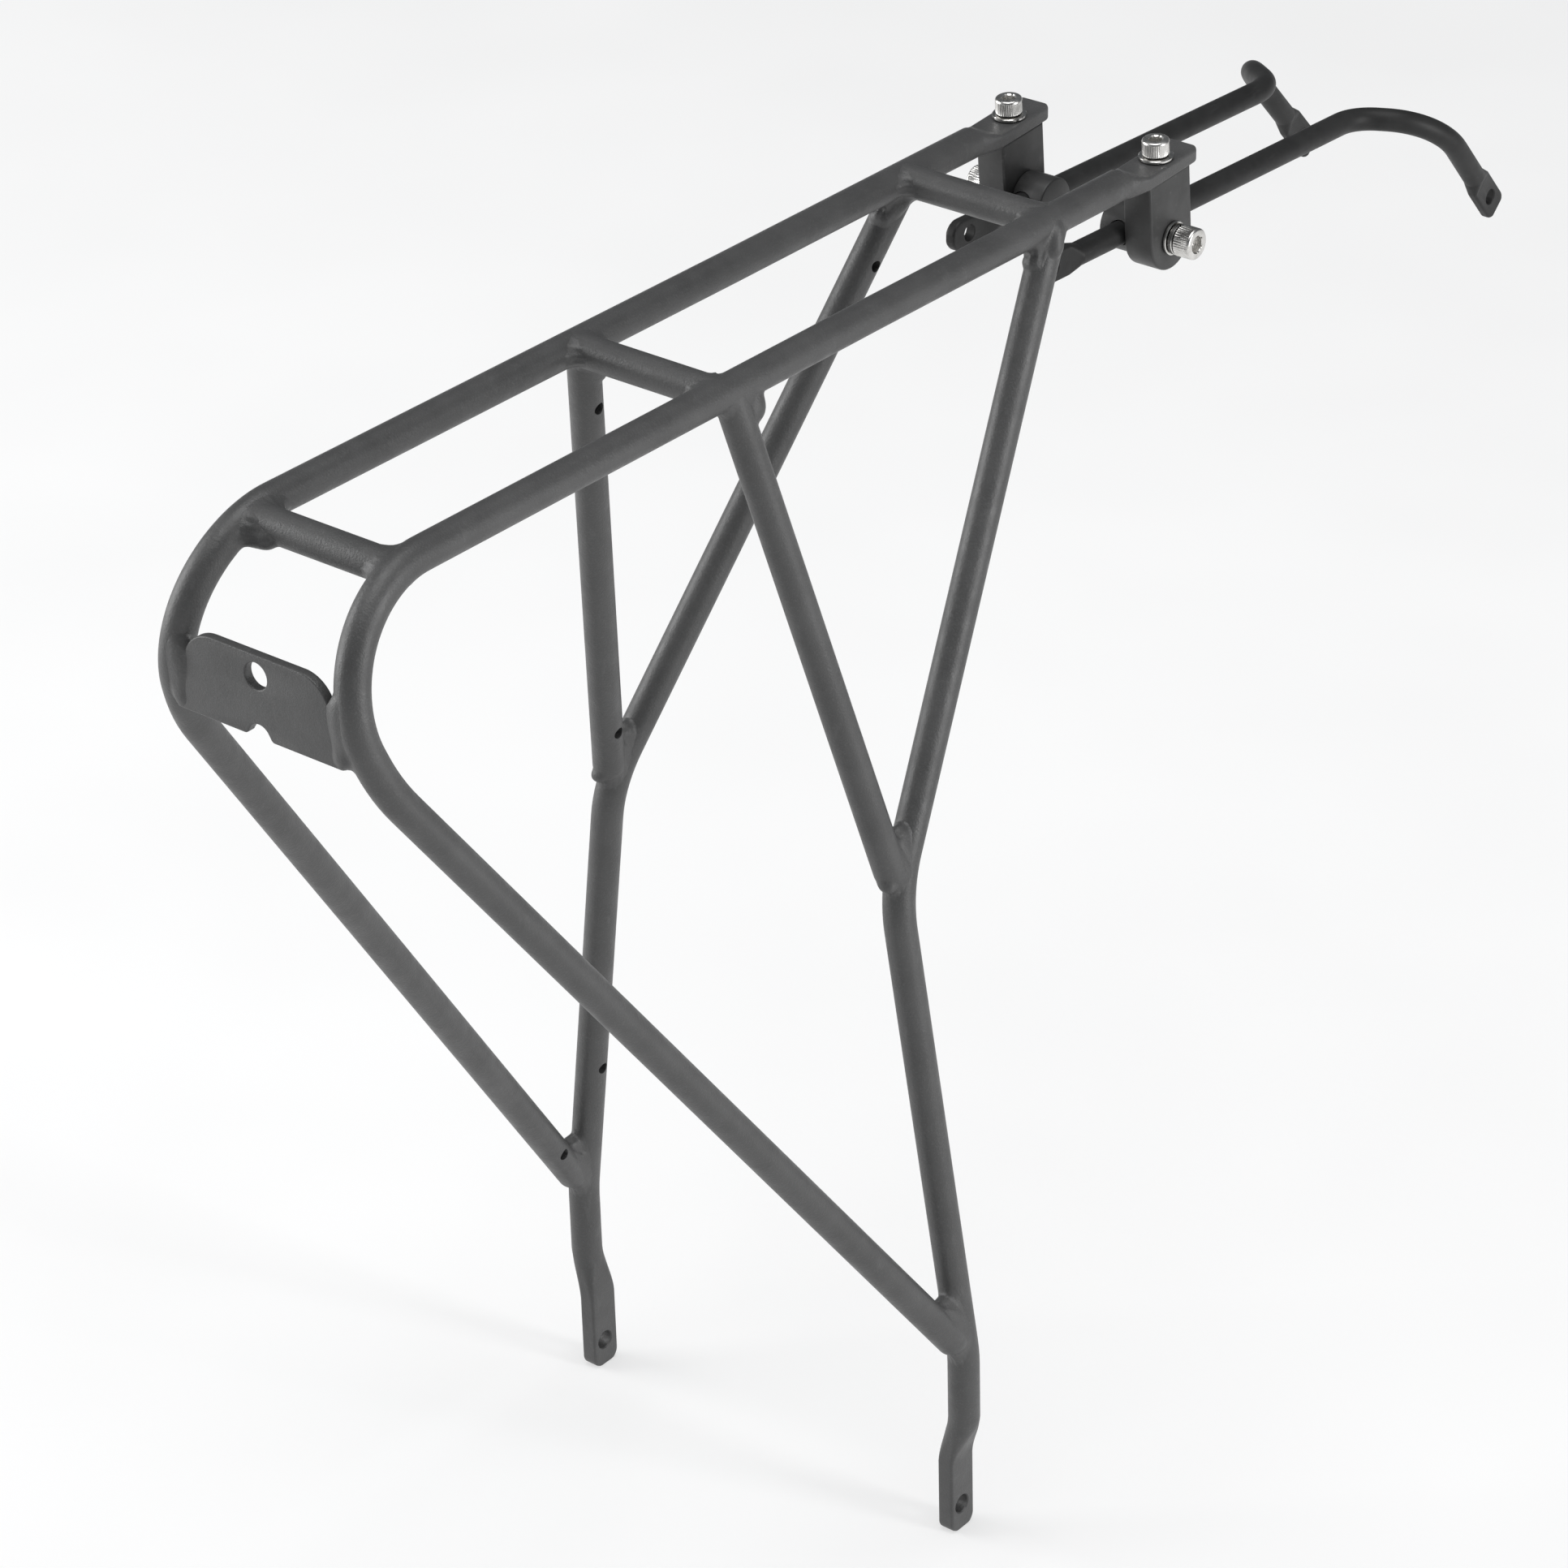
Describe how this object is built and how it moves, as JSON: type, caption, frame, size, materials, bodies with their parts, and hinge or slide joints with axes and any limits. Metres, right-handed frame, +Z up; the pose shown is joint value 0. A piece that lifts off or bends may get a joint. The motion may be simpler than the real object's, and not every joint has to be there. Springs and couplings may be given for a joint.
{
  "type": "bicycle rear rack",
  "caption": "Bicycle rear rack of welded tube with flattened feet, a light plate and adjustable front stay rods held in swivelling clamps.",
  "frame": {"origin": "midway between the bolt holes of the two feet, on the line through both holes", "axes": "+Z up, +Y towards the front of the bicycle, +X to its right"},
  "size_m": [0.1656, 0.5583, 0.4043],
  "materials": {
    "frame_paint": "satin dark grey powder coat with a fine texture",
    "black_satin": "satin black anodised and coated aluminium",
    "stainless_steel": "bright stainless steel"
  },
  "bodies": {
    "frame": {"rail_left": "frame_paint", "rail_right": "frame_paint", "leg_left": "frame_paint", "leg_right": "frame_paint", "mid_strut_left": "frame_paint", "mid_strut_right": "frame_paint", "crossbar_front": "frame_paint", "crossbar_mid": "frame_paint", "crossbar_rear": "frame_paint", "light_plate": "frame_paint"},
    "block_right": {"drop_block_right": "black_satin", "top_bolt_right": "stainless_steel", "top_washer_right": "stainless_steel"},
    "clamp_right": {"rod_clamp_right": "black_satin", "clamp_bolt_right": "stainless_steel", "clamp_washer_right": "stainless_steel", "spring_washer_right": "stainless_steel"},
    "rod_right": {"stay_rod_right": "black_satin"},
    "block_left": {"drop_block_left": "black_satin", "top_bolt_left": "stainless_steel", "top_washer_left": "stainless_steel"},
    "clamp_left": {"rod_clamp_left": "black_satin", "clamp_bolt_left": "stainless_steel", "clamp_washer_left": "stainless_steel", "spring_washer_left": "stainless_steel"},
    "rod_left": {"stay_rod_left": "black_satin"}
  },
  "joints": [
    {"name": "swivel_right", "type": "hinge", "parent": "frame", "child": "block_right", "pos_m": [0.0278, 0.1605, 0.38301], "axis": [0, -0.0732, 0.9973], "range_deg": [-6, 2]},
    {"name": "tilt_right", "type": "hinge", "parent": "block_right", "child": "clamp_right", "pos_m": [0.0278, 0.162, 0.36256], "axis": [1, 0, 0], "range_deg": [-4, 25]},
    {"name": "slide_right", "type": "slide", "parent": "clamp_right", "child": "rod_right", "axis": [0, 0.9995, -0.0313], "range_m": [-0.08, 0.018]},
    {"name": "swivel_left", "type": "hinge", "parent": "frame", "child": "block_left", "pos_m": [-0.0278, 0.1605, 0.38301], "axis": [0, -0.0732, 0.9973], "range_deg": [-2, 6]},
    {"name": "tilt_left", "type": "hinge", "parent": "block_left", "child": "clamp_left", "pos_m": [-0.0278, 0.162, 0.36256], "axis": [1, 0, 0], "range_deg": [-4, 25]},
    {"name": "slide_left", "type": "slide", "parent": "clamp_left", "child": "rod_left", "axis": [0, 0.9995, -0.0313], "range_m": [-0.087, 0.011]}
  ]
}
